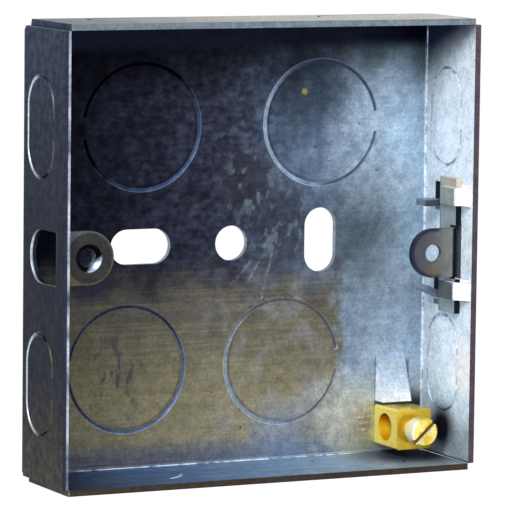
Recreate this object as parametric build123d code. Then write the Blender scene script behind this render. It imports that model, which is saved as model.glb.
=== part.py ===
"""One-gang galvanised steel back box, 16 mm class, with an adjustable lug and an earth terminal.

The box stands upright as it sits in a wall: X to the right, Y into the wall, Z up, in millimetres.
The origin is the centre of the outer face of the back. The open side looks along -Y.
"""
import os
from math import asin, cos, degrees, pi, radians, sin

from build123d import *

# Tray, folded from one sheet with open corners
outer_width = 72.0
outer_height = 72.5
depth = 17.0
sheet = 1.0
bend_inside = 0.4
corner_gap = 0.03
relief = 0.1

# Knockouts: sheared outlines, each held in the sheet by one tie
groove_width = 0.5
groove_depth = 0.36
tie_width = 3.4
round_knockout = 20.5
upper_knockout_spread = 31.6
upper_knockout_z = 18.95
lower_knockout_left = -18.2
lower_knockout_right = 9.15
lower_knockout_z = -19.45
side_knockout_length = 16.2
side_knockout_width = 10.3
side_knockout_setback = 9.2
side_knockout_spread = 40.0

# Fixing holes along the middle of the back
centre_hole = 5.6
slot_width = 5.6
slot_length = 10.4
slot_spread = 31.8

# Lugs: both take the same screw, 60.3 from lug to lug, and lie in one plane behind the rim
lug_inset = 5.85
lug_setback = 3.8
lug_bend_inside = 1.2
lug_hole = 2.9
fixed_lug_radius = 4.2
collar_outside = 4.5
collar_length = 1.1
entry_diameter = 4.2
entry_depth = 0.6

# Adjustable lug: a strip that slides on the right wall
lug_sheet = 1.0
sliding_lug_radius = 3.95
strip_setback = 3.5
strip_width = 5.3
strip_length = 21.8
strip_offset = 1.0
slit = 0.4
lug_height = -1.5
slide_clearance = 0.12

# Hooks and guide tabs lanced from the right wall around the strip
hook_height = 2.8
hook_spread = 15.2
hook_root = 0.6
hook_rise = 1.7
hook_reach = 4.5
hook_slot_margin = 0.4
guide_width = 3.2
guide_length = 4.1
guide_clearance = 0.3
upper_guide_z = 6.0
lower_guide_z = -9.4
lower_guide_lift = 24.0

# Brass earth terminal, riveted to the back
block_width = 6.2
block_height = 6.5
block_depth = 7.7
block_side_gap = 2.4
block_bottom_gap = 1.4
block_chamfer = 0.25
wire_bore = 4.4
wire_bore_height = 3.6
spigot_diameter = 3.0
spigot_flare = 4.2
flare_depth = 0.5
spigot_clearance = 0.04

# Clamp screw of the terminal
screw_diameter = 3.4
screw_clearance = 0.1
screw_length = 5.0
head_diameter = 4.7
head_height = 2.4
head_gap = 1.6
head_chamfer = 0.3
driver_slot_width = 0.9
driver_slot_depth = 0.9
driver_slot_angle = 42.0

# Louvre raised from the back above the terminal
louvre_width = 5.3
louvre_height = 2.8
louvre_length = 7.7
louvre_gap = 0.6
louvre_offset = -0.5
louvre_side = 0.7

# Places that several features share
half_width = outer_width / 2
half_height = outer_height / 2
half_sheet = sheet / 2
rim = -depth
back_inside = -sheet
bend_middle = bend_inside + half_sheet
bend_outside = bend_inside + sheet
lug_bend_middle = lug_bend_inside + half_sheet
right_inside = half_width - sheet
top_inside = half_height - sheet
lug_front = rim + lug_setback
lug_x = half_width - lug_inset
strip_front = rim + strip_setback
strip_rear = strip_front + strip_width
strip_outer = right_inside - slide_clearance
strip_middle = strip_outer - lug_sheet / 2
hook_z = hook_spread / 2
block_x = right_inside - block_side_gap - block_width / 2
block_z = -(top_inside - block_bottom_gap - block_height / 2)
block_front = back_inside - block_depth


def bent_strip(points, radius, thickness, low, high):
    """A strip that follows a path in the XY plane, rounded at its bends, from height low to high."""
    path = FilletPolyline(*points, radius=radius)
    section = trace(path, thickness)
    return Pos(0, 0, low) * extrude(section, high - low)


def drill(diameter, x, z, front, back):
    """A round cutter along Y from one depth to another."""
    cutter = Cylinder(diameter / 2, back - front)
    return Pos(x, (front + back) / 2, z) * Rot(X=90) * cutter


def cone_along_y(front_diameter, back_diameter, x, z, front, back):
    """A tapered cutter along Y, from its diameter at the front to its diameter at the back."""
    cutter = Cone(back_diameter / 2, front_diameter / 2, back - front)
    return Pos(x, (front + back) / 2, z) * Rot(X=90) * cutter


def channel(span, length):
    """Two opposite walls with the back between them, bent from one strip."""
    side = span / 2 - half_sheet
    points = [(-side, rim), (-side, -half_sheet), (side, -half_sheet), (side, rim)]
    return bent_strip(points, bend_middle, sheet, -length / 2, length / 2)


def folded_tray():
    """The back and its four walls. The bends stop short of each corner, which the back fills."""
    stop = bend_outside + relief
    corners = GridLocations(outer_width, outer_height, 2, 2)
    notches = [Rot(X=90) * corner * Box(2 * stop, 2 * stop, 2 * stop) for corner in corners]
    sides = channel(outer_width, outer_height - 2 * (sheet + corner_gap)) - notches
    ends = Rot(Y=90) * channel(outer_height, outer_width - 2 * (sheet + corner_gap)) - notches
    patch = stop + relief - sheet - corner_gap
    inset = 2 * (sheet + corner_gap) + patch
    tray = sides + ends
    for corner in GridLocations(outer_width - inset, outer_height - inset, 2, 2):
        tray += Pos(0, -stop / 2, 0) * Rot(X=90) * corner * Box(patch, patch, stop)
    return tray


def knockout_groove(path):
    """A V-shaped cut along an outline, from one side of its tie round to the other."""
    half = groove_width / 2
    section = make_face(Polyline((0, -half), (groove_depth, 0), (0, half), close=True))
    start = Plane(origin=path @ 0, x_dir=(0, 0, 1), z_dir=path % 0)
    return sweep(start * section, path)


def both_faces(groove, plane):
    """The same groove cut from the inner face of a wall and, mirrored, from its outer face."""
    outer = plane * Pos(0, 0, sheet) * Rot(X=180)
    return [plane * groove, outer * groove]


def round_knockouts():
    """Two round knockouts above and two below, each tied on the side of the nearer wall."""
    radius = (round_knockout - groove_width) / 2
    tie = degrees(asin(tie_width / 2 / radius))
    groove = knockout_groove(CenterArc((0, 0), radius, tie, 360 - 2 * tie))
    places = [
        (-upper_knockout_spread / 2, upper_knockout_z, -1),
        (upper_knockout_spread / 2, upper_knockout_z, 1),
        (lower_knockout_left, lower_knockout_z, -1),
        (lower_knockout_right, lower_knockout_z, 1),
    ]
    cutters = []
    for x, z, tied in places:
        face = Plane(origin=(x, back_inside, z), x_dir=(tied, 0, 0), z_dir=(0, 1, 0))
        cutters += both_faces(groove, face)
    return cutters


def side_knockouts():
    """Two obround knockouts in each wall, their long sides along the wall, tied towards the rim."""
    radius = (side_knockout_width - groove_width) / 2
    end = (side_knockout_length - side_knockout_width) / 2
    tie = tie_width / 2
    outline = [
        Line((radius, tie), (radius, end)),
        CenterArc((0, end), radius, 0, 180),
        Line((-radius, end), (-radius, -end)),
        CenterArc((0, -end), radius, 180, 180),
        Line((radius, -end), (radius, -tie)),
    ]
    groove = knockout_groove(Wire(outline))
    y = rim + side_knockout_setback
    cutters = []
    for along in (-side_knockout_spread / 2, side_knockout_spread / 2):
        for facing in (-1, 1):
            wall = Plane(origin=(facing * right_inside, y, along), x_dir=(0, -1, 0), z_dir=(facing, 0, 0))
            cutters += both_faces(groove, wall)
            level = Plane(origin=(along, y, facing * top_inside), x_dir=(0, -1, 0), z_dir=(0, 0, facing))
            cutters += both_faces(groove, level)
    return cutters


def back_holes():
    """Centre hole, a level slot on the left and an upright slot on the right."""
    face = Plane(origin=(0, back_inside, 0), x_dir=(1, 0, 0), z_dir=(0, 1, 0))
    straight = slot_length - slot_width
    slot = SlotCenterToCenter(straight, slot_width)
    level = Pos(-slot_spread / 2, 0) * slot
    upright = Pos(slot_spread / 2, 0) * Rot(Z=90) * slot
    return extrude(face * (Circle(centre_hole / 2) + level + upright), sheet)


def fixed_lug_window():
    """The opening that the fixed lug leaves in the left wall: as long as the flat lug was."""
    straight = pi / 2 * lug_bend_middle + right_inside - lug_bend_inside - lug_x
    start = lug_front - lug_bend_inside
    flat = Pos(straight / 2, 0) * Rectangle(straight, 2 * fixed_lug_radius)
    end = Pos(straight, 0) * Circle(fixed_lug_radius)
    wall = Plane(origin=(-half_width, start, 0), x_dir=(0, 1, 0), z_dir=(1, 0, 0))
    return extrude(wall * (flat + end), sheet)


def fixed_lug():
    """The tab bent in from the left wall, with a collar drawn through it for the thread."""
    middle = lug_front + half_sheet
    root = lug_front - lug_bend_inside - half_sheet
    wall_middle = -half_width + half_sheet
    points = [(wall_middle, root), (wall_middle, middle), (-lug_x, middle)]
    lug = bent_strip(points, lug_bend_middle, sheet, -fixed_lug_radius, fixed_lug_radius)
    lug_back = lug_front + sheet
    lug += drill(2 * fixed_lug_radius, -lug_x, 0, lug_front, lug_back)
    lug += drill(collar_outside, -lug_x, 0, lug_front, lug_back + collar_length)
    lug -= drill(lug_hole, -lug_x, 0, lug_front, lug_back + collar_length)
    lug -= cone_along_y(entry_diameter, lug_hole, -lug_x, 0, lug_front, lug_front + entry_depth)
    return lug


def hook_middle():
    """Where the middle of a hook's sheet runs, clear of the strip."""
    return strip_outer - lug_sheet - slide_clearance - half_sheet


def hook(z):
    """A finger of the right wall, raised over the strip from the front."""
    wall_middle = right_inside + half_sheet
    raised = rim + hook_root + hook_rise
    points = [
        (wall_middle, rim),
        (wall_middle, rim + hook_root),
        (hook_middle(), raised),
        (hook_middle(), raised + hook_reach),
    ]
    return bent_strip(points, bend_middle, sheet, z - hook_height / 2, z + hook_height / 2)


def hook_slot(z):
    """The opening left in the right wall behind a hook, up to the guide tab's opening."""
    start = rim + hook_root
    end = strip_rear + guide_clearance
    height = hook_height + 2 * hook_slot_margin
    return Pos(right_inside + half_sheet, (start + end) / 2, z) * Box(sheet, end - start, height)


def guide_tab(z, lift):
    """A tab bent in from the right wall behind the strip, lifted from level by some degrees."""
    wall_middle = right_inside + half_sheet
    start = strip_rear + guide_clearance
    slope = radians(lift)
    tip = (wall_middle - guide_length * cos(slope), z + guide_length * sin(slope))
    points = [(wall_middle, z - 2 * bend_outside), (wall_middle, z), tip]
    tab = bent_strip(points, bend_middle, sheet, -start - guide_width, -start)
    return Rot(X=90) * tab


def guide_opening(z):
    """The opening that a guide tab leaves in the wall above its bend."""
    start = strip_rear + guide_clearance
    low = z - bend_middle
    return Pos(right_inside + half_sheet, start + guide_width / 2, low + guide_length / 2) * Box(
        sheet, guide_width, guide_length
    )


def louvre_end():
    return block_z + block_height / 2 + louvre_gap


def louvre():
    """A ramp pressed up from the back, closed at its sides and open at its lower end."""
    end = louvre_end()
    start = end + louvre_length
    profile = [(back_inside, start), (back_inside - louvre_height, end), (-half_sheet, end), (-half_sheet, start)]
    side = make_face(Polyline(*profile, close=True))
    return Pos(block_x + louvre_offset, 0, 0) * extrude(Plane.YZ * side, louvre_width / 2, both=True)


def louvre_hollow():
    """The space under the ramp, open through the back."""
    end = louvre_end()
    start = end + louvre_length
    profile = [(0, start), (-louvre_height, end), (0, end)]
    side = make_face(Polyline(*profile, close=True))
    width = louvre_width - 2 * louvre_side
    return Pos(block_x + louvre_offset, 0, 0) * extrude(Plane.YZ * side, width / 2, both=True)


def box_body():
    body = folded_tray()
    body -= back_holes()
    body -= fixed_lug_window()
    for z in (-hook_z, hook_z):
        body -= hook_slot(z)
    for z in (lower_guide_z, upper_guide_z):
        body -= guide_opening(z)
    body += fixed_lug()
    for z in (-hook_z, hook_z):
        body += hook(z)
    body += guide_tab(upper_guide_z, 0)
    body += guide_tab(lower_guide_z, lower_guide_lift)
    body += louvre()
    body -= louvre_hollow()
    body -= drill(spigot_diameter + 2 * spigot_clearance, block_x, block_z, back_inside, 0)
    flare = spigot_flare + 2 * spigot_clearance
    body -= cone_along_y(spigot_diameter + 2 * spigot_clearance, flare, block_x, block_z, -flare_depth, 0)
    return body - round_knockouts() - side_knockouts()


def adjustable_lug():
    """A strip behind the hooks with a half-round tab, slit free at both sides and bent in."""
    strip_z = lug_height + strip_offset
    strip_y = (strip_front + strip_rear) / 2
    lug = Pos(strip_middle, strip_y, strip_z) * Box(lug_sheet, strip_width, strip_length)
    lug_back = lug_front + lug_sheet
    bend_end = lug_back + bend_inside
    slit_height = 2 * (sliding_lug_radius + slit)
    opening = Box(lug_sheet, bend_end - strip_front, slit_height)
    lug -= Pos(strip_middle, (strip_front + bend_end) / 2, lug_height) * opening
    middle = lug_front + lug_sheet / 2
    points = [(strip_middle, bend_end + bend_inside), (strip_middle, middle), (lug_x, middle)]
    bend = bend_inside + lug_sheet / 2
    low = lug_height - sliding_lug_radius
    lug += bent_strip(points, bend, lug_sheet, low, low + 2 * sliding_lug_radius)
    lug += drill(2 * sliding_lug_radius, lug_x, lug_height, lug_front, lug_back)
    return lug - drill(lug_hole, lug_x, lug_height, lug_front, lug_back)


def earth_terminal():
    """Brass block with a wire bore across it, a screw hole from the front and a riveted spigot."""
    block = Pos(block_x, (block_front + back_inside) / 2, block_z) * Box(block_width, block_depth, block_height)
    block = chamfer(block.edges().filter_by(Axis.Y), block_chamfer)
    bore_y = back_inside - wire_bore_height
    block -= Pos(block_x, bore_y, block_z) * Rot(Y=90) * Cylinder(wire_bore / 2, block_width)
    block -= drill(screw_diameter + 2 * screw_clearance, block_x, block_z, block_front, bore_y)
    block += drill(spigot_diameter, block_x, block_z, back_inside, 0)
    block += cone_along_y(spigot_diameter, spigot_flare, block_x, block_z, -flare_depth, 0)
    return block


def earth_screw():
    """Slotted cheese-head screw, a few turns short of home."""
    head_back = block_front - head_gap
    head_front = head_back - head_height
    head = drill(head_diameter, block_x, block_z, head_front, head_back)
    front_edge = head.edges().filter_by(GeomType.CIRCLE).sort_by(Axis.Y)[0]
    head = chamfer(front_edge, head_chamfer)
    slot = Box(2 * head_diameter, 2 * driver_slot_depth, driver_slot_width)
    head -= Pos(block_x, head_front, block_z) * Rot(Y=-driver_slot_angle) * slot
    return head + drill(screw_diameter, block_x, block_z, head_back, head_back + screw_length)


nodes = {
    "box_body": box_body(),
    "adjustable_lug": adjustable_lug(),
    "earth_terminal": earth_terminal(),
    "earth_screw": earth_screw(),
}

os.makedirs("parts", exist_ok=True)
for name, shape in nodes.items():
    shape.label = name
    export_step(shape, f"parts/{name}.step")
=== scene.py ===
import math

import bpy
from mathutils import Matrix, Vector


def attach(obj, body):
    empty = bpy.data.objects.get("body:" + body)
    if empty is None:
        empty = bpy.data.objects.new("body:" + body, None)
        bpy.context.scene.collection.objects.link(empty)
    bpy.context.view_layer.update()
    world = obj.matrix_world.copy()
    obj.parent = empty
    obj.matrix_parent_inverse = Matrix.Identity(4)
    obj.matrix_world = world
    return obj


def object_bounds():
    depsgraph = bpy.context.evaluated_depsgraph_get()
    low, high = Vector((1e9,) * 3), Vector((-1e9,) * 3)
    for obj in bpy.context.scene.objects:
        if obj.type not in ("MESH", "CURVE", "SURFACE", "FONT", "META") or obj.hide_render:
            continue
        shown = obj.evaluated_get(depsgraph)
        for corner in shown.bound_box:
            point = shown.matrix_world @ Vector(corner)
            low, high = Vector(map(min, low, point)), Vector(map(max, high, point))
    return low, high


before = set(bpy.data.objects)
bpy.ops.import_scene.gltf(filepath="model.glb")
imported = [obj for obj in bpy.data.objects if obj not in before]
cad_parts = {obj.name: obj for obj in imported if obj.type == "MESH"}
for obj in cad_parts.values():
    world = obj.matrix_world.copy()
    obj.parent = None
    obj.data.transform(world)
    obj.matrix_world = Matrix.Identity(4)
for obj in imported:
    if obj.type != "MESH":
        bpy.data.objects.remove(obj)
cad_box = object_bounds()


# Box body: one blank of galvanised steel sheet, punched, grooved for the knockouts and folded
# into a tray. The lug, hooks and louvre are lanced from the same sheet. The zinc has rolling
# streaks and dark handling marks; light and shade are painted into its tones as well, such as a
# warm reflection low on the back and a highlight along the left rim.
def tint(red, green, blue):
    """A colour as it looks on paper, 0 to 255, as the shader's linear values."""
    linear = []
    for level in (red, green, blue):
        share = level / 255
        linear.append(share / 12.92 if share <= 0.04045 else ((share + 0.055) / 1.055) ** 2.4)
    return (*linear, 1.0)


class Finish:
    """A metal finish: a node material and the few steps that its marks are drawn with, in millimetres."""

    def __init__(self, name):
        self.material = bpy.data.materials.new(name)
        self.material.use_nodes = True
        self.nodes = self.material.node_tree.nodes
        self.links = self.material.node_tree.links
        self.shader = self.nodes["Principled BSDF"]
        self.shader.inputs["Specular IOR Level"].default_value = 0.15
        place = self.nodes.new("ShaderNodeTexCoord")
        scaled = self.nodes.new("ShaderNodeVectorMath")
        scaled.operation = "SCALE"
        scaled.inputs["Scale"].default_value = 1000
        self.links.new(place.outputs["Object"], scaled.inputs[0])
        self.place = scaled.outputs[0]
        self.x, self.y, self.z = self.split(self.place)
        facing = self.nodes.new("ShaderNodeNewGeometry")
        self.facing_x, self.facing_y, self.facing_z = self.split(facing.outputs["Normal"])

    def split(self, vector):
        parts = self.nodes.new("ShaderNodeSeparateXYZ")
        self.links.new(vector, parts.inputs[0])
        return parts.outputs[0], parts.outputs[1], parts.outputs[2]

    def feed(self, source, socket):
        if isinstance(source, bpy.types.NodeSocket):
            self.links.new(source, socket)
        else:
            socket.default_value = source

    def step(self, operation, first, second):
        node = self.nodes.new("ShaderNodeMath")
        node.operation = operation
        self.feed(first, node.inputs[0])
        self.feed(second, node.inputs[1])
        return node.outputs[0]

    def times(self, *shares):
        total = shares[0]
        for share in shares[1:]:
            total = self.step("MULTIPLY", total, share)
        return total

    def plus(self, *values):
        total = values[0]
        for value in values[1:]:
            total = self.step("ADD", total, value)
        return total

    def most(self, *values):
        largest = values[0]
        for value in values[1:]:
            largest = self.step("MAXIMUM", largest, value)
        return largest

    def size(self, value):
        """A value without its sign."""
        return self.step("ABSOLUTE", value, 0.0)

    def reach(self, first, second):
        """The length of a way that goes so far one way and so far at a right angle to it."""
        return self.step("POWER", self.plus(self.times(first, first), self.times(second, second)), 0.5)

    def rise(self, value, low, high):
        """0 below one level, 1 above another, smooth between. The levels may run downwards."""
        ramp = self.nodes.new("ShaderNodeMapRange")
        ramp.interpolation_type = "SMOOTHSTEP"
        up = high > low
        self.feed(value, ramp.inputs["Value"])
        ramp.inputs["From Min"].default_value = low if up else high
        ramp.inputs["From Max"].default_value = high if up else low
        ramp.inputs["To Min"].default_value = 0.0 if up else 1.0
        ramp.inputs["To Max"].default_value = 1.0 if up else 0.0
        return ramp.outputs["Result"]

    def within(self, value, low, high, soft):
        """1 between two levels, fading over a soft margin outside them."""
        return self.times(self.rise(value, low - soft, low), self.rise(value, high + soft, high))

    def away(self, x, z, stretch=1.0):
        """How far a point is from the line along Y through x and z."""
        over = self.step("SUBTRACT", self.x, x)
        up = self.step("SUBTRACT", self.z, z)
        return self.reach(over, self.times(up, stretch))

    def spot(self, x, z, inner, outer, stretch=1.0):
        return self.rise(self.away(x, z, stretch), outer, inner)

    def scratch(self, x, z, lean, length):
        """A thin line on the back through a point, leaning that many degrees from level."""
        over = self.step("SUBTRACT", self.x, x)
        up = self.step("SUBTRACT", self.z, z)
        level, climb = math.cos(math.radians(lean)), math.sin(math.radians(lean))
        along = self.plus(self.times(over, level), self.times(up, climb))
        aside = self.plus(self.times(up, level), self.times(over, -climb))
        half_width, soft_side, soft_end = 0.06, 0.32, 1.0
        return self.times(
            self.within(along, -length, length, soft_end),
            self.within(aside, -half_width, half_width, soft_side),
        )

    def cloud(self, size, stretch=(1, 1, 1), detail=3.0, turn=(0, 0, 0)):
        """Noise whose patches are about one size across, drawn out along an axis by its stretch."""
        mapping = self.nodes.new("ShaderNodeMapping")
        mapping.inputs["Scale"].default_value = [1 / (size * share) for share in stretch]
        mapping.inputs["Rotation"].default_value = [math.radians(angle) for angle in turn]
        self.links.new(self.place, mapping.inputs["Vector"])
        noise = self.nodes.new("ShaderNodeTexNoise")
        noise.inputs["Scale"].default_value = 1.0
        noise.inputs["Detail"].default_value = detail
        self.links.new(mapping.outputs[0], noise.inputs["Vector"])
        return noise.outputs["Fac"]

    def grade(self, value, start, stop, *colours):
        """Colours that follow each other evenly as a value goes from start to stop."""
        share = self.nodes.new("ShaderNodeMapRange")
        self.feed(value, share.inputs["Value"])
        share.inputs["From Min"].default_value = start
        share.inputs["From Max"].default_value = stop
        ramp = self.nodes.new("ShaderNodeValToRGB")
        self.links.new(share.outputs["Result"], ramp.inputs["Fac"])
        stops = ramp.color_ramp.elements
        stops.remove(stops[1])
        stops[0].position = 0.0
        stops[0].color = colours[0]
        for number, colour in enumerate(colours[1:], 1):
            stops.new(number / (len(colours) - 1)).color = colour
        return ramp.outputs["Color"]

    def mix(self, share, first, second, blend="MIX"):
        mixed = self.nodes.new("ShaderNodeMix")
        mixed.data_type = "RGBA"
        mixed.blend_type = blend
        self.feed(share, mixed.inputs["Factor"])
        self.feed(first, mixed.inputs["A"])
        self.feed(second, mixed.inputs["B"])
        return mixed.outputs["Result"]

    def shade(self, colour, light, low, high):
        """The colour made darker or lighter as a pattern goes from 0 to 1."""
        level = self.plus(self.times(light, high - low), low)
        grey = self.nodes.new("ShaderNodeCombineColor")
        for channel in range(3):
            self.links.new(level, grey.inputs[channel])
        return self.mix(1.0, colour, grey.outputs[0], "MULTIPLY")

    def finish(self, colour, roughness, metallic, relief, depth, edge):
        """Sets the looks: a relief is so deep and edges are rounded by a radius, both in millimetres."""
        self.feed(colour, self.shader.inputs["Base Color"])
        self.feed(roughness, self.shader.inputs["Roughness"])
        self.feed(metallic, self.shader.inputs["Metallic"])
        rounded = self.nodes.new("ShaderNodeBevel")
        rounded.samples = 4
        rounded.inputs["Radius"].default_value = edge / 1000
        bump = self.nodes.new("ShaderNodeBump")
        bump.inputs["Strength"].default_value = 1.0
        bump.inputs["Distance"].default_value = depth / 1000
        self.feed(relief, bump.inputs["Height"])
        self.links.new(rounded.outputs[0], bump.inputs["Normal"])
        self.links.new(bump.outputs[0], self.shader.inputs["Normal"])

    def wear(self, *pieces):
        for piece in pieces:
            piece.data.materials.clear()
            piece.data.materials.append(self.material)


# places of the sheet that its marks follow, in millimetres
upper_knockout_z, lower_knockout_z = 18.95, -19.45
upper_right_knockout_x = 15.8
round_tie_half = 1.5
wall_knockout_middle, wall_knockout_spine, wall_knockout_y = 20.0, 2.95, -7.8
lug_hole_x = -30.15
back_rear, back_front = -4.2, -5.0

zinc = Finish("galvanised_steel")
zinc.shader.inputs["Specular Tint"].default_value = (0.6, 0.62, 0.68, 1.0)
clouds = zinc.cloud(5.0, detail=5.0)
mottle = zinc.cloud(1.5, detail=4.0)
grain = zinc.cloud(0.45, detail=2.0)
brushing = zinc.cloud(0.4, (45, 1, 1), 3.0)
front = zinc.rise(zinc.facing_y, -0.3, -0.5)
leftward = zinc.rise(zinc.facing_x, -0.3, -0.5)
upward = zinc.rise(zinc.facing_z, 0.3, 0.5)
blotches = zinc.rise(mottle, 0.3, 0.7)
speckle = zinc.rise(zinc.cloud(0.8, (1.6, 1, 1), 4.0), 0.3, 0.7)

# outer faces, evenly galvanised; the top one painted paler where the light falls on it and
# darker towards its left end as shade
plain_tone = zinc.shade(tint(140, 148, 158), clouds, 0.6, 1.4)
top_tone = zinc.grade(zinc.x, -36.0, 36.0, tint(92, 98, 106), tint(186, 184, 174), tint(206, 202, 190))
top_tone = zinc.shade(top_tone, clouds, 0.8, 1.2)
on_top = zinc.times(upward, zinc.rise(zinc.z, 35.9, 36.1))

# back, seen from the open side, with painted light and shade: night blue at the upper left
# and under the top wall where shade falls, pale steel on the right where the light falls
wander = zinc.plus(zinc.times(clouds, 12.0), zinc.times(mottle, 5.0), -8.5)
across = zinc.plus(zinc.x, wander)
down = zinc.plus(zinc.z, zinc.times(zinc.cloud(6.0, detail=4.0, turn=(0, 40, 0)), 10.0), -5.0)
steel_tone = zinc.grade(
    across, -31.0, 31.0,
    tint(4, 6, 15), tint(25, 27, 40), tint(42, 46, 60), tint(88, 105, 129), tint(180, 203, 223),
)
patchy_tone = zinc.shade(zinc.shade(steel_tone, blotches, 0.75, 1.3), speckle, 0.7, 1.4)
steel_tone = zinc.mix(zinc.rise(zinc.x, 18.0, -6.0), steel_tone, patchy_tone)
steel_tone = zinc.shade(steel_tone, zinc.rise(down, 33.0, 20.0), 0.12, 1.0)
steel_tone = zinc.mix(zinc.rise(zinc.z, 30.0, 32.5), steel_tone, tint(16, 20, 36))
steel_tone = zinc.shade(steel_tone, zinc.spot(14.0, 25.0, 4.0, 11.0), 1.0, 0.5)
steel_tone = zinc.shade(steel_tone, zinc.spot(21.0, 1.0, 2.0, 11.0, 0.8), 1.0, 0.5)
# painted shade below the adjustable lug
shade_below_lug = zinc.times(zinc.within(zinc.z, -15.0, -8.0, 5.0), zinc.rise(zinc.x, 18.0, 27.0))
steel_tone = zinc.shade(steel_tone, shade_below_lug, 1.0, 0.72)

# painted warm reflection on its lower left, lighter downwards and darker towards the left wall,
# with fine brushing along the sheet
warm_tone = zinc.grade(
    down, -2.0, -33.0, tint(58, 58, 66), tint(90, 88, 80), tint(118, 114, 94), tint(140, 136, 114)
)
warm_tone = zinc.mix(zinc.times(zinc.rise(brushing, 0.45, 0.75), 0.2), warm_tone, tint(150, 138, 92))
warm_tone = zinc.shade(warm_tone, zinc.rise(zinc.x, -33.0, 4.0), 0.5, 1.0)
pale_bloom = zinc.rise(zinc.cloud(3.4, detail=5.0), 0.42, 0.7)
pale_bloom = zinc.times(pale_bloom, zinc.rise(zinc.x, -10.0, 6.0), 0.45)
warm_tone = zinc.mix(pale_bloom, warm_tone, tint(134, 138, 146))
warm_side = zinc.plus(zinc.x, zinc.times(mottle, 5.0), -2.5)
warm_share = zinc.times(zinc.rise(down, -1.0, -10.0), zinc.rise(warm_side, 21.5, 18.0))
back_tone = zinc.mix(warm_share, steel_tone, warm_tone)
low_band = zinc.grade(zinc.x, -30.0, 20.0, tint(78, 84, 104), tint(84, 94, 118), tint(116, 142, 178))
low_side = zinc.plus(zinc.z, zinc.times(mottle, 3.0), -1.5)
back_tone = zinc.mix(zinc.times(zinc.rise(low_side, -30.6, -33.6), 0.7), back_tone, low_band)
back_tone = zinc.mix(zinc.times(zinc.spot(9.0, -31.0, 1.0, 7.0), 0.6), back_tone, tint(128, 146, 174))
back_tone = zinc.mix(zinc.times(zinc.spot(15.5, -27.0, 1.5, 6.0), 0.5), back_tone, tint(146, 156, 172))
low_corner = zinc.times(zinc.rise(zinc.z, -19.0, -30.0), zinc.rise(across, 12.0, 22.0))
back_tone = zinc.mix(low_corner, back_tone, tint(190, 194, 186))

# handling marks on the back, small dabs, most at the knockout ties, and a painted shadow of the
# fixed lug
rubbed = zinc.most(zinc.spot(9.0, 2.5, 3.0, 9.0), zinc.spot(3.5, 9.5, 2.0, 7.5, 0.9))
rubbed = zinc.times(rubbed, zinc.rise(zinc.away(upper_right_knockout_x, upper_knockout_z), 9.6, 10.6))
flecks = zinc.rise(zinc.cloud(1.7, (1, 1, 1.4), 3.0, (0, 50, 0)), 0.5, 0.64)
back_tone = zinc.mix(zinc.times(rubbed, 0.7), back_tone, tint(42, 40, 48))
back_tone = zinc.mix(zinc.times(rubbed, flecks, 0.55), back_tone, tint(108, 122, 138))
# painted shadow of the fixed lug, below and to the right of it
back_tone = zinc.mix(zinc.spot(-24.0, -4.8, 1.5, 5.0), back_tone, tint(34, 36, 50))
scuffing = zinc.rise(zinc.cloud(1.2, (1, 1, 2.0), 4.0, (0, 35, 0)), 0.54, 0.63)
scuffs = zinc.times(zinc.spot(-20.5, -20.5, 2.0, 10.0), scuffing, 0.75)
back_tone = zinc.mix(scuffs, back_tone, tint(48, 52, 66))
pits = zinc.rise(zinc.cloud(1.3, detail=2.0), 0.7, 0.78)
back_tone = zinc.mix(zinc.times(pits, 0.5), back_tone, tint(22, 26, 38))
for mark_x, mark_z, mark_size, mark_tone in (
    (12.8, 24.0, 0.75, tint(140, 136, 44)),
    (-26.3, 18.6, 1.8, tint(2, 2, 6)),
    (26.0, 18.6, 2.2, tint(176, 192, 208)),
    (19.1, -17.6, 0.5, tint(224, 230, 230)),
    (19.0, -21.4, 0.5, tint(196, 206, 210)),
):
    dab = zinc.spot(mark_x, mark_z, mark_size / 4, mark_size)
    back_tone = zinc.mix(zinc.times(dab, 0.8), back_tone, mark_tone)
for scratch_x, scratch_z, lean, length in (
    (6.4, -5.5, 76.0, 3.4),
    (1.8, -4.8, 45.0, 2.0),
    (4.2, -4.4, 60.0, 1.8),
):
    line = zinc.scratch(scratch_x, scratch_z, lean, length)
    back_tone = zinc.mix(zinc.times(line, speckle, 0.36), back_tone, tint(150, 156, 168))

# knockout outlines, painted light: each dark where it turns from the light and bright where it
# faces it, with a painted shade just inside its lit side
for knockout_x, knockout_z, tied, lit_x, lit_z, dim, lit in (
    (-upper_right_knockout_x, upper_knockout_z, -1.0, 0.7, -0.7, tint(7, 8, 14), tint(104, 126, 164)),
    (upper_right_knockout_x, upper_knockout_z, 1.0, -0.9, -0.4, tint(104, 118, 142), tint(184, 200, 220)),
    (-18.2, lower_knockout_z, -1.0, 0.6, -0.8, tint(76, 84, 106), tint(128, 150, 186)),
    (9.15, lower_knockout_z, 1.0, -0.8, -0.6, tint(130, 132, 138), tint(176, 192, 212)),
):
    reach = zinc.away(knockout_x, knockout_z)
    tie = zinc.times(
        zinc.within(zinc.z, knockout_z - round_tie_half, knockout_z + round_tie_half, 0.25),
        zinc.rise(zinc.times(zinc.step("SUBTRACT", zinc.x, knockout_x), tied), 8.0, 9.0),
    )
    grooved = zinc.step("SUBTRACT", 1.0, tie)
    side = zinc.plus(
        zinc.times(zinc.step("SUBTRACT", zinc.x, knockout_x), lit_x),
        zinc.times(zinc.step("SUBTRACT", zinc.z, knockout_z), lit_z),
        zinc.times(mottle, 6.0), -3.0,
    )
    painted_lip_shade = zinc.times(zinc.within(reach, 9.35, 9.6, 0.25), zinc.rise(side, 0.0, 8.0), grooved)
    back_tone = zinc.shade(back_tone, painted_lip_shade, 1.0, 0.62)
    outline = zinc.times(zinc.within(reach, 9.85, 10.2, 0.22), grooved, 0.85)
    back_tone = zinc.mix(outline, back_tone, zinc.mix(zinc.rise(side, -2.0, 9.0), dim, lit))
near_back = zinc.rise(zinc.y, back_front, back_rear)
on_back = zinc.times(front, near_back)
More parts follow.
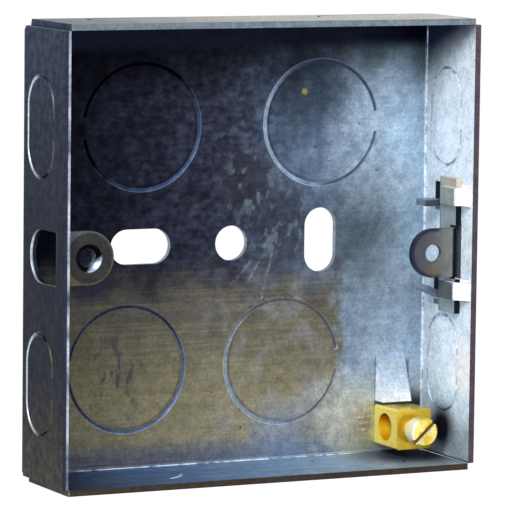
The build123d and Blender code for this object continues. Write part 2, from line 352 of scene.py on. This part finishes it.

# louvre, with painted light: its left side and lower end painted bright where the light falls,
# and painted shadows beside it and under its end
beside = zinc.times(zinc.within(zinc.x, 31.8, 32.4, 0.3), zinc.within(zinc.z, -26.8, -21.0, 1.5))
under = zinc.times(zinc.within(zinc.x, 26.4, 32.6, 0.3), zinc.within(zinc.z, -27.6, -26.8, 0.2))
back_tone = zinc.mix(zinc.times(zinc.most(beside, under), 0.75), back_tone, tint(52, 62, 80))
# painted shade between the earth terminal and the right wall
back_tone = zinc.mix(zinc.spot(33.8, -29.0, 1.5, 5.0), back_tone, tint(58, 66, 80))
ramp_tone = zinc.grade(zinc.z, -20.0, -26.5, tint(164, 182, 200), tint(178, 196, 214), tint(230, 238, 246))
cheek_tone = zinc.mix(zinc.rise(zinc.z, -20.5, -22.5), tint(168, 186, 204), tint(252, 254, 255))
on_louvre = zinc.times(
    zinc.within(zinc.x, 26.3, 31.7, 0.05), zinc.rise(zinc.y, -1.1, -1.3), near_back,
    zinc.within(zinc.z, -26.9, -18.0, 0.1),
)


# walls, painted as lit and shaded copies of the same zinc: the right one pale where the light
# falls, the floor of the box steel blue and darker towards the left, the left one dark outside as shade
def wall_outline(along):
    """The outlines of a wall's two knockouts, broken at the ties towards the rim."""
    apart = zinc.size(zinc.step("SUBTRACT", zinc.size(along), wall_knockout_middle))
    past = zinc.most(zinc.step("SUBTRACT", apart, wall_knockout_spine), 0.0)
    off = zinc.step("SUBTRACT", zinc.y, wall_knockout_y)
    tie = zinc.times(zinc.rise(apart, 1.9, 1.5), zinc.rise(off, -3.0, -4.0))
    return zinc.times(zinc.within(zinc.reach(past, off), 4.72, 5.1, 0.2), zinc.step("SUBTRACT", 1.0, tie))


side_outline = wall_outline(zinc.z)
floor_outline = wall_outline(zinc.x)
# the right wall, painted pale as lit, darker towards the back, low down and low at the front
wall_tone = zinc.shade(tint(228, 243, 255), clouds, 0.85, 1.15)
wall_tone = zinc.shade(wall_tone, zinc.rise(zinc.y, -2.0, -9.0), 0.74, 1.08)
wall_tone = zinc.mix(zinc.times(zinc.rise(zinc.z, -22.0, -25.5), 0.4), wall_tone, tint(172, 204, 238))
low_front = zinc.times(zinc.rise(zinc.z, -27.0, -31.5), zinc.rise(zinc.y, -9.5, -12.5))
wall_tone = zinc.mix(zinc.times(low_front, 0.65), wall_tone, tint(106, 124, 134))
wall_tone = zinc.mix(zinc.times(pits, 0.5), wall_tone, tint(90, 104, 122))
# painted shade in the upper back corner, under the top wall
upper_corner_shade = zinc.rise(zinc.plus(zinc.z, zinc.times(zinc.y, 0.4)), 23.5, 31.0)
wall_tone = zinc.mix(upper_corner_shade, wall_tone, tint(34, 48, 76))
# a painted highlight low on the front of the right wall
painted_highlight_spot = zinc.times(zinc.spot(35.0, -20.0, 2.0, 6.0), zinc.rise(zinc.y, -10.0, -13.0))
wall_tone = zinc.mix(painted_highlight_spot, wall_tone, tint(255, 255, 255))
# painted shadow beside the adjustable lug on the right wall
lug_shadow = zinc.times(zinc.within(zinc.y, -13.4, -11.2, 0.15), zinc.within(zinc.z, -5.8, 3.0, 0.2))
wall_tone = zinc.mix(zinc.times(lug_shadow, 0.9), wall_tone, tint(14, 18, 32))
on_right_wall = zinc.times(leftward, zinc.rise(zinc.x, 34.4, 34.8))
# the floor of the box, painted darker towards the left as shade
floor_tone = zinc.grade(
    across, -34.0, 34.0, tint(10, 26, 58), tint(70, 104, 146), tint(126, 156, 186), tint(150, 166, 170)
)
floor_tone = zinc.shade(floor_tone, zinc.cloud(0.8, (30, 1, 1), 4.0), 0.55, 1.45)
faint_outline = zinc.times(floor_outline, zinc.rise(zinc.x, 12.0, -4.0), 0.5)
floor_tone = zinc.mix(faint_outline, floor_tone, tint(62, 88, 124))
# a painted glint along the outline of the left knockout in the floor of the box
glint = zinc.times(floor_outline, zinc.within(zinc.x, -15.0, -11.0, 1.0), zinc.rise(zinc.y, -8.0, -9.5))
floor_tone = zinc.mix(glint, floor_tone, tint(206, 216, 222))
on_bottom_wall = zinc.times(upward, zinc.rise(zinc.z, -34.0, -34.8))
# the left wall outside, painted dark as shade, with a painted highlight along the back of its knockout
# outlines
outer_tone = zinc.grade(
    zinc.z, 36.0, -36.0,
    tint(46, 56, 74), tint(34, 40, 54), tint(25, 28, 40), tint(28, 29, 37), tint(62, 58, 46),
)
outer_tone = zinc.shade(outer_tone, blotches, 0.6, 1.4)
outline_highlight = zinc.times(side_outline, zinc.rise(zinc.plus(zinc.y, zinc.times(mottle, 4.0)), -7.0, -2.0))
outer_tone = zinc.mix(outline_highlight, outer_tone, tint(186, 196, 206))
broken_outline = zinc.times(side_outline, zinc.rise(blotches, 0.2, 0.6), 0.7)
wall_tone = zinc.mix(broken_outline, wall_tone, tint(112, 132, 160))
on_left_outer = zinc.times(leftward, zinc.rise(zinc.x, -34.5, -34.9))

# painted shade in the hollow between the earth terminal and the corner of the box
floor_way = zinc.reach(zinc.plus(zinc.x, -30.0), zinc.plus(zinc.y, 6.0))
floor_tone = zinc.mix(zinc.times(zinc.rise(floor_way, 14.0, 2.0), 0.95), floor_tone, tint(18, 32, 58))
wall_way = zinc.reach(zinc.plus(zinc.y, 7.9), zinc.plus(zinc.z, 30.7))
wall_tone = zinc.mix(zinc.rise(wall_way, 6.0, 1.6), wall_tone, tint(14, 20, 34))
# and a darker line along the seam where the right wall meets the floor of the box
wall_tone = zinc.mix(zinc.rise(zinc.z, -34.8, -35.1), wall_tone, tint(62, 74, 90))
floor_tone = zinc.mix(zinc.rise(zinc.x, 34.5, 34.8), floor_tone, tint(62, 74, 90))

# cut edges of the rim, the fixed lug, the window that it left, the bends and the hooks,
# with their painted light and shade
# the rim: darker brown on its bottom and right sides as shade, with a painted highlight along its left side
edge_tone = zinc.mix(zinc.rise(zinc.z, -34.5, -35.1), tint(106, 116, 128), tint(60, 51, 47))
edge_tone = zinc.mix(zinc.rise(zinc.x, 34.7, 34.9), edge_tone, tint(74, 65, 74))
rim_highlight = zinc.mix(zinc.rise(clouds, 0.35, 0.65), tint(82, 96, 114), tint(178, 190, 198))
rim_highlight = zinc.mix(zinc.rise(zinc.x, -35.3, -35.5), rim_highlight, tint(46, 48, 66))
edge_tone = zinc.mix(zinc.rise(zinc.x, -34.7, -34.9), edge_tone, rim_highlight)
on_rim = zinc.times(front, zinc.rise(zinc.y, -16.6, -16.8))
# the fixed lug painted dark as shade, with painted highlights round its edge and at its hole's lower right
lug_tone = zinc.shade(tint(50, 49, 50), clouds, 0.6, 1.4)
lug_reach = zinc.away(lug_hole_x, 0.0)
lug_edge_highlight = zinc.mix(zinc.rise(zinc.z, -0.5, -2.5), tint(104, 112, 122), tint(104, 98, 66))
lug_tone = zinc.mix(zinc.times(zinc.rise(lug_reach, 3.7, 4.15), 0.45), lug_tone, lug_edge_highlight)
lit_side = zinc.plus(zinc.x, zinc.times(zinc.z, -1.0), -lug_hole_x)
entry_tone = zinc.mix(zinc.rise(lit_side, 1.5, 2.6), tint(6, 7, 12), tint(176, 190, 220))
lug_tone = zinc.mix(zinc.rise(lug_reach, 2.3, 2.1), lug_tone, entry_tone)
on_lug = zinc.times(front, zinc.within(zinc.y, -14.0, -10.5, 0.3), zinc.rise(zinc.x, -20.0, -24.0))
on_window = zinc.times(
    zinc.rise(zinc.x, -34.9, -35.0), zinc.rise(zinc.size(zinc.z), 4.6, 4.4),
    zinc.within(zinc.y, -9.0, -3.6, 0.1), zinc.rise(leftward, 0.9, 0.1),
)
window_tone = zinc.mix(zinc.rise(zinc.x, -35.5, -35.75), tint(40, 46, 62), tint(220, 228, 234))
# a painted highlight along the bends at the foot and the right of the back
right_bend = zinc.times(zinc.rise(zinc.x, 34.2, 34.5), zinc.rise(zinc.z, -28.0, -24.0))
lower_bend = zinc.times(zinc.rise(zinc.z, -34.4, -34.7), zinc.rise(zinc.x, 25.0, 20.0))
on_bend = zinc.times(
    zinc.rise(zinc.facing_y, -0.2, -0.35), zinc.rise(zinc.y, -2.2, -1.8), zinc.rise(zinc.facing_y, -0.8, -0.6),
    zinc.most(right_bend, lower_bend),
)
bend_highlight = zinc.mix(zinc.rise(mottle, 0.35, 0.55), tint(120, 134, 150), tint(232, 240, 248))
# the hooks: slopes painted white where the light falls, flat parts grey, darker on the lower hook as shade
on_hooks = zinc.times(
    zinc.within(zinc.size(zinc.z), 6.15, 9.05, 0.1),
    zinc.within(zinc.x, 30.0, 34.9, 0.1),
    zinc.rise(zinc.y, -9.0, -9.3),
)
hook_tone = zinc.mix(zinc.rise(zinc.z, 1.0, -1.0), tint(152, 160, 156), tint(96, 102, 106))
hook_tone = zinc.mix(zinc.rise(zinc.facing_x, -0.97, -0.9), hook_tone, tint(240, 244, 248))
on_guides = zinc.times(
    zinc.within(zinc.y, -8.1, -4.6, 0.1), zinc.within(zinc.x, 30.4, 36.0, 0.1),
    zinc.most(zinc.within(zinc.z, 4.7, 9.3, 0.1), zinc.within(zinc.z, -10.7, -6.1, 0.1)),
)
guide_tone = zinc.mix(zinc.rise(zinc.z, 1.0, -1.0), tint(84, 98, 114), tint(150, 166, 186))
# painted shade where the guides pass through the wall
in_slit = zinc.times(on_guides, zinc.rise(zinc.x, 34.9, 35.05))

# the tones laid over each other, from the widest to the finest, then the grain of all of them
colour = plain_tone
for share, tone in (
    (on_top, top_tone),
    (on_back, back_tone),
    (zinc.times(on_louvre, front), ramp_tone),
    (on_right_wall, wall_tone),
    (zinc.times(on_louvre, leftward), cheek_tone),
    (on_bottom_wall, floor_tone),
    (on_left_outer, outer_tone),
    (on_lug, lug_tone),
    (on_bend, bend_highlight),
    (on_window, window_tone),
    (on_hooks, hook_tone),
    (zinc.times(on_guides, front), guide_tone),
    (in_slit, tint(20, 22, 40)),
    (on_rim, edge_tone),
):
    colour = zinc.mix(share, colour, tone)
colour = zinc.shade(colour, blotches, 0.88, 1.12)
colour = zinc.shade(colour, brushing, 0.85, 1.15)
colour = zinc.shade(colour, zinc.rise(grain, 0.3, 0.7), 0.86, 1.14)
dull = zinc.most(on_right_wall, on_bottom_wall, on_hooks, on_louvre)
zinc.finish(
    colour,
    roughness=zinc.plus(zinc.times(clouds, 0.25), 0.27),
    metallic=zinc.plus(zinc.times(dull, -0.65), 0.8),
    relief=zinc.plus(zinc.times(brushing, 0.5), zinc.times(grain, 0.3), zinc.times(mottle, 0.4)),
    depth=0.05, edge=0.14,
)
box_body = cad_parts["box_body"]
zinc.wear(box_body)


# Thread of the fixed lug: a fine ridge rolled into the drawn collar, for the plate's screw. It is
# wound from one small diamond section, half of it sunk in the steel.
lug_thread_size = {"radius": 0.00147, "depth": 0.00012, "pitch": 0.0006}


def thread(name, radius, depth, pitch, turns, place):
    """A ridge wound round a shank or in a bore, along Y from a place on its axis."""
    half_rise, steps = 0.42 * pitch, 24
    bpy.ops.object.select_all(action="DESELECT")
    bpy.ops.mesh.primitive_circle_add(vertices=4, radius=1.0)
    ridge = bpy.context.object
    ridge.name = name
    bpy.ops.object.mode_set(mode="EDIT")
    bpy.ops.mesh.select_all(action="SELECT")
    bpy.ops.transform.resize(value=(depth, half_rise, 1.0))
    bpy.ops.transform.translate(value=(radius, 0, 0))
    bpy.ops.object.mode_set(mode="OBJECT")
    winding = ridge.modifiers.new("winding", "SCREW")
    winding.axis = "Y"
    winding.screw_offset = pitch
    winding.iterations = turns
    winding.steps = steps
    winding.render_steps = steps
    bpy.ops.object.modifier_apply(modifier=winding.name)
    bpy.ops.object.mode_set(mode="EDIT")
    bpy.ops.mesh.select_all(action="SELECT")
    bpy.ops.mesh.remove_doubles(threshold=1e-7)
    bpy.ops.mesh.select_all(action="DESELECT")
    bpy.ops.mesh.select_mode(type="EDGE")
    bpy.ops.mesh.select_non_manifold()
    bpy.ops.mesh.fill_holes(sides=0)
    bpy.ops.mesh.select_all(action="SELECT")
    bpy.ops.mesh.normals_make_consistent(inside=False)
    bpy.ops.transform.translate(value=place)
    bpy.ops.object.mode_set(mode="OBJECT")
    return ridge


fixed_thread = thread("fixed_lug_thread", **lug_thread_size, turns=2, place=(-0.03015, -0.0124, 0.0))
zinc.wear(fixed_thread)
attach(fixed_thread, "box")


# Earth sign: a stem over three shortening lines, pressed up from the back beside the terminal.
# The marks have sloping flanks and are painted pale yellow in patches, a painted reflection of the brass.
struck = Finish("struck_steel")
struck_clouds = struck.cloud(0.8, detail=3.0)
sign_highlight_tone = struck.mix(struck_clouds, tint(150, 152, 146), tint(226, 220, 190))
struck.finish(sign_highlight_tone, roughness=0.34, metallic=0.6, relief=struck_clouds, depth=0.02, edge=0.06)
sign_x, sign_y, sign_thickness = 0.02445, -0.00103, 0.0003
flank_width, flank_rise, edge_rounding = 0.00007, 0.00003, 0.00005
bar = 0.00042
marks = []
for width, height, mark_z in (
    (bar, 0.0015, -0.02855),
    (0.0023, bar, -0.0295),
    (0.0015, bar, -0.0305),
    (0.00075, bar, -0.0315),
):
    bpy.ops.object.select_all(action="DESELECT")
    bpy.ops.mesh.primitive_cube_add(size=1.0, location=(sign_x, sign_y, mark_z))
    mark = bpy.context.object
    bpy.ops.object.mode_set(mode="EDIT")
    bpy.ops.transform.resize(value=(width, sign_thickness, height))
    bpy.ops.object.mode_set(mode="OBJECT")
    bpy.ops.object.transform_apply(location=True, rotation=False, scale=True)
    for face in mark.data.polygons:
        face.select = face.normal.y < -0.9
    bpy.ops.object.mode_set(mode="EDIT")
    bpy.ops.mesh.select_mode(type="FACE")
    bpy.ops.mesh.inset(thickness=flank_width, depth=flank_rise)
    bpy.ops.object.mode_set(mode="OBJECT")
    rounding = mark.modifiers.new("rounding", "BEVEL")
    rounding.width = edge_rounding
    rounding.segments = 2
    bpy.ops.object.modifier_apply(modifier=rounding.name)
    marks.append(mark)
bpy.ops.object.select_all(action="DESELECT")
for mark in marks:
    mark.select_set(True)
bpy.context.view_layer.objects.active = marks[0]
bpy.ops.object.join()
earth_sign = bpy.context.object
earth_sign.name = "earth_sign"
bpy.ops.object.shade_smooth_by_angle(angle=math.radians(40))
struck.wear(earth_sign)
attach(earth_sign, "box")


# Adjustable lug: a strip of zinc-plated steel with a drilled tab bent in, loose behind the two
# hooks of the right wall so that it slides up and down to level the plate.
plated = Finish("plated_steel")
plated_clouds = plated.cloud(2.2, detail=4.0)
plated_grain = plated.cloud(0.4, (1, 1, 4), 2.0)
plated_front = plated.rise(plated.facing_y, -0.45, -0.8)
# the strip pale and the tab painted dark as shade, lighter towards its bend, with a painted olive reflection
# under its hole
strip_tone = plated.mix(plated.rise(plated.z, 7.5, 8.5), tint(196, 208, 214), tint(232, 218, 194))
strip_tone = plated.mix(plated.times(plated.rise(plated.y, -9.0, -8.4), 0.6), strip_tone, tint(150, 142, 96))
strip_tone = plated.shade(strip_tone, plated_clouds, 0.8, 1.2)
tab_reach = plated.away(30.15, -1.5)
tab_tone = plated.grade(plated.x, 26.5, 33.5, tint(60, 62, 74), tint(80, 82, 86), tint(122, 126, 121))
tab_border = plated.times(plated.rise(tab_reach, 3.2, 3.8), plated.rise(plated.x, 32.0, 30.5))
tab_tone = plated.mix(tab_border, tab_tone, tint(34, 38, 56))
tab_tone = plated.mix(plated.times(plated.spot(30.2, -4.3, 0.3, 1.5), 0.6), tab_tone, tint(98, 94, 58))
tab_tone = plated.shade(tab_tone, plated_clouds, 0.6, 1.4)
# painted shade on the strip's front edge
on_edge = plated.times(plated_front, plated.rise(plated.z, 8.8, 8.4), plated.rise(plated.x, 33.4, 33.8))
plated_colour = plated.mix(plated.rise(plated.x, 34.0, 33.7), strip_tone, tab_tone)
plated_colour = plated.mix(on_edge, plated_colour, tint(18, 22, 36))
plated_colour = plated.shade(plated_colour, plated_grain, 0.85, 1.15)
plated.finish(plated_colour, roughness=0.36, metallic=0.55, relief=plated_grain, depth=0.03, edge=0.12)
adjustable_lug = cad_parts["adjustable_lug"]
lug_thread = thread("adjustable_lug_thread", **lug_thread_size, turns=1, place=(0.03015, -0.013, -0.0015))
plated.wear(adjustable_lug, lug_thread)
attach(lug_thread, "lug")


# Earth terminal and its clamp screw: a block sawn from drawn brass bar, cross-drilled for the
# wire and riveted to the back, and a slotted brass screw turned from rod.
brass = Finish("brass")
brass_clouds = brass.cloud(1.6, detail=4.0)
brass_lines = brass.cloud(0.25, (1, 14, 1), 2.0)
brass_front = brass.rise(brass.facing_y, -0.45, -0.8)
# faces towards the left painted lighter where the light falls
brass_left = brass.rise(brass.facing_x, -0.2, -0.7)
brass_tone = brass.mix(brass_front, tint(226, 200, 84), tint(222, 188, 60))
brass_tone = brass.mix(brass_left, brass_tone, tint(250, 230, 112))
# painted highlights on the screw head, near white on its left side
on_head = brass.rise(brass.y, -10.2, -10.4)
head_highlight = brass.times(on_head, brass.rise(brass_clouds, 0.4, 0.6))
brass_tone = brass.mix(head_highlight, brass_tone, tint(246, 226, 130))
brass_tone = brass.mix(brass.times(on_head, brass_left, 0.8), brass_tone, tint(252, 248, 224))
# painted shade in the slot of the screw
in_slot = brass.times(on_head, brass_front, brass.rise(brass.y, -12.3, -12.0))
brass_tone = brass.mix(in_slot, brass_tone, tint(120, 90, 26))
# the wire bore painted as lit inside: dark at the top as shade, glowing orange and yellow lower down
bore_y = brass.step("SUBTRACT", brass.y, -4.6)
bore_z = brass.step("SUBTRACT", brass.z, -30.6)
in_bore = brass.rise(brass.plus(brass.times(bore_y, bore_y), brass.times(bore_z, bore_z)), 5.1, 4.9)
bore_tone = brass.grade(
    brass.z, -28.5, -32.6, tint(120, 70, 10), tint(255, 176, 16), tint(255, 214, 48), tint(214, 140, 14)
)
brass_tone = brass.mix(in_bore, brass_tone, bore_tone)
brass_tone = brass.shade(brass_tone, brass_clouds, 0.8, 1.15)
brass_tone = brass.shade(brass_tone, brass_lines, 0.85, 1.15)
brass_metal = brass.plus(brass.times(brass.most(in_bore, brass_left), -0.5), 0.6)
brass.finish(brass_tone, roughness=0.26, metallic=brass_metal, relief=brass_lines, depth=0.03, edge=0.12)
earth_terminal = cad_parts["earth_terminal"]
earth_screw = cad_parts["earth_screw"]
screw_thread = thread(
    "earth_screw_thread", radius=0.00168, depth=0.0001, pitch=0.0005, turns=8, place=(0.0295, -0.01, -0.0306)
)
brass.wear(earth_terminal, earth_screw, screw_thread)
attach(screw_thread, "screw")


# Studio: a pale floor that runs into a white surround, with a soft key light above the left
# shoulder of the camera and a weaker fill from the right.
bpy.ops.object.select_all(action="DESELECT")
bpy.ops.mesh.primitive_plane_add(size=6.0, location=(0, 0, cad_box[0][2]))
floor = bpy.context.object
floor.name = "floor"
paper = bpy.data.materials.new("floor_paper")
paper.use_nodes = True
paper_nodes = paper.node_tree.nodes
paper_links = paper.node_tree.links
paper_nodes.clear()
matt = paper_nodes.new("ShaderNodeBsdfDiffuse")
matt.inputs["Color"].default_value = (0.2, 0.2, 0.2, 1)
glow = paper_nodes.new("ShaderNodeEmission")
glow.inputs["Strength"].default_value = 0.9
both = paper_nodes.new("ShaderNodeAddShader")
paper_links.new(matt.outputs[0], both.inputs[0])
paper_links.new(glow.outputs[0], both.inputs[1])
paper_out = paper_nodes.new("ShaderNodeOutputMaterial")
paper_links.new(both.outputs[0], paper_out.inputs[0])
floor.data.materials.append(paper)

world = bpy.data.worlds.new("surround")
bpy.context.scene.world = world
world.use_nodes = True
sky_nodes = world.node_tree.nodes
sky_links = world.node_tree.links
sky_nodes.clear()
path = sky_nodes.new("ShaderNodeLightPath")
seen = sky_nodes.new("ShaderNodeMath")
seen.operation = "MAXIMUM"
sky_links.new(path.outputs["Is Camera Ray"], seen.inputs[0])
sky_links.new(path.outputs["Is Glossy Ray"], seen.inputs[1])
shown = sky_nodes.new("ShaderNodeMath")
shown.operation = "MAXIMUM"
sky_links.new(seen.outputs[0], shown.inputs[0])
sky_links.new(path.outputs["Is Transmission Ray"], shown.inputs[1])
ambient = sky_nodes.new("ShaderNodeBackground")
ambient.inputs["Strength"].default_value = 0.6
white = sky_nodes.new("ShaderNodeBackground")
white.inputs["Color"].default_value = (1, 1, 1, 1)
white.inputs["Strength"].default_value = 1.0
choice = sky_nodes.new("ShaderNodeMixShader")
sky_links.new(shown.outputs[0], choice.inputs[0])
sky_links.new(ambient.outputs[0], choice.inputs[1])
sky_links.new(white.outputs[0], choice.inputs[2])
sky_out = sky_nodes.new("ShaderNodeOutputWorld")
sky_links.new(choice.outputs[0], sky_out.inputs[0])


def soft_light(name, place, size, power):
    """A square lamp at a place, turned to face the box."""
    lamp = bpy.data.lights.new(name, "AREA")
    lamp.size = size
    lamp.energy = power
    holder = bpy.data.objects.new(name, lamp)
    bpy.context.scene.collection.objects.link(holder)
    holder.location = place
    holder.rotation_euler = holder.location.to_track_quat("Z", "Y").to_euler()


soft_light("key_light", (-0.45, -0.55, 0.5), size=0.35, power=6.0)
soft_light("fill_light", (0.6, -0.5, 0.25), size=0.5, power=2.0)


# Camera: a long lens well to the left of the open side and a little above it.
lens = bpy.data.cameras.new("camera")
lens.sensor_width = 36.0
lens.lens = 290.8
lens.clip_start = 0.01
camera = bpy.data.objects.new("camera", lens)
bpy.context.scene.collection.objects.link(camera)
camera.location = (-0.28499, -0.58890, 0.07069)
camera.rotation_euler = [math.radians(angle) for angle in (83.663, -0.696, -26.121)]
bpy.context.scene.camera = camera
bpy.context.scene.view_settings.view_transform = "Standard"
